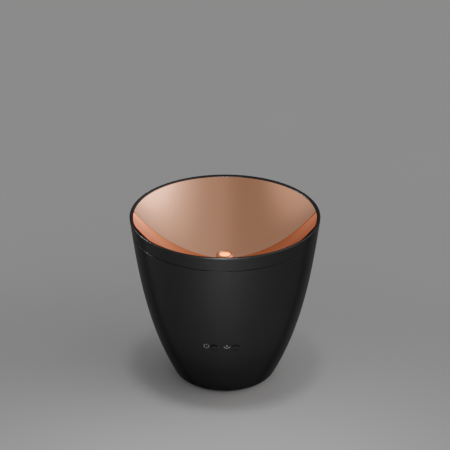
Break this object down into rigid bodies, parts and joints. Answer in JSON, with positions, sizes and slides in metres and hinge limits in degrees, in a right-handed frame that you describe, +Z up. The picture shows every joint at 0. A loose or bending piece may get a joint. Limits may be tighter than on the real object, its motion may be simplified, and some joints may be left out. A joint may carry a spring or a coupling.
{
  "type": "essential oil diffuser",
  "caption": "Ultrasonic oil diffuser: tapered black housing with a lift-off dish lid, mirror-finish copper bowl and central mist outlet, two front buttons and an inner tank, disc and fan.",
  "frame": {"origin": "centre of the base on the table", "axes": "+Z up, -Y to the front where the buttons are, +X to the right seen from the front"},
  "size_m": [0.1418, 0.1418, 0.131],
  "materials": {
    "black_plastic": "satin moulded",
    "copper_finish": "mirror-polished, copper-coloured",
    "frosted_plastic": "frosted, lets light through",
    "grey_plastic": "moulded",
    "black_rubber": "matt",
    "silicone": "matt",
    "zinc_steel": "zinc plated",
    "piezo_plate": "polished",
    "circuit_board": "solder mask",
    "nylon": "moulded",
    "component_black": "moulded",
    "capacitor_sleeve": "shrink sleeve",
    "amber_lamp": "clear amber",
    "foam": "open-cell foam",
    "lead_red": "sheath",
    "lead_ivory": "sheath",
    "lead_yellow": "sheath",
    "lead_black": "sheath"
  },
  "bodies": {
    "housing": {"outer_shell": "black_plastic", "base_plate": "black_plastic", "water_tank": "frosted_plastic", "air_tower": "frosted_plastic", "inner_frame": "grey_plastic", "transducer_retainer": "grey_plastic", "air_duct": "grey_plastic", "button_guide": "grey_plastic", "rubber_foot_1": "black_rubber", "rubber_foot_2": "black_rubber", "rubber_foot_3": "black_rubber", "rubber_foot_4": "black_rubber", "transducer_seal": "silicone", "base_screw_1": "zinc_steel", "base_screw_2": "zinc_steel", "base_screw_3": "zinc_steel", "retainer_screw_1": "zinc_steel", "retainer_screw_2": "zinc_steel", "retainer_screw_3": "zinc_steel", "light_board_screw_1": "zinc_steel", "light_board_screw_2": "zinc_steel", "fan_screw_1": "zinc_steel", "fan_screw_2": "zinc_steel", "board_screw_1": "zinc_steel", "board_screw_2": "zinc_steel", "transducer_disc": "piezo_plate", "light_board": "circuit_board", "main_board": "circuit_board", "button_board": "circuit_board", "fan_connector": "nylon", "button_connector": "nylon", "transducer_connector": "nylon", "light_connector": "nylon", "power_connector": "nylon", "fan_housing": "component_black", "drive_inductor": "component_black", "control_chip": "component_black", "drive_transistor": "component_black", "power_switch": "component_black", "light_switch": "component_black", "dc_jack": "component_black", "filter_capacitor": "capacitor_sleeve", "amber_lamp_1": "amber_lamp", "amber_lamp_2": "amber_lamp", "amber_lamp_3": "amber_lamp", "duct_seal": "foam", "fan_lead": "lead_red", "button_lead": "lead_ivory", "light_lead": "lead_yellow", "transducer_lead": "lead_black", "power_lead": "lead_black"},
    "lid": {"lid_band": "black_plastic", "lid_dish": "black_plastic", "reflector_bowl": "copper_finish", "outlet_collar": "copper_finish", "mist_chimney": "frosted_plastic", "lid_seal": "silicone"},
    "power_key": {"power_button": "black_plastic"},
    "light_key": {"light_button": "black_plastic"},
    "fan_rotor": {"fan_impeller": "component_black"}
  },
  "joints": [
    {"name": "lid_lift", "type": "slide", "parent": "housing", "child": "lid", "axis": [0, 0, 1], "range_m": [0, 0.06]},
    {"name": "power_press", "type": "slide", "parent": "housing", "child": "power_key", "axis": [0, 1, 0], "range_m": [0, 0.0005], "stiffness_N_per_m": 1500},
    {"name": "light_press", "type": "slide", "parent": "housing", "child": "light_key", "axis": [0, 1, 0], "range_m": [0, 0.0005], "stiffness_N_per_m": 1500},
    {"name": "fan_spin", "type": "hinge", "parent": "housing", "child": "fan_rotor", "pos_m": [0, 0.007, 0.0102], "axis": [0, 0, 1], "continuous": true}
  ]
}
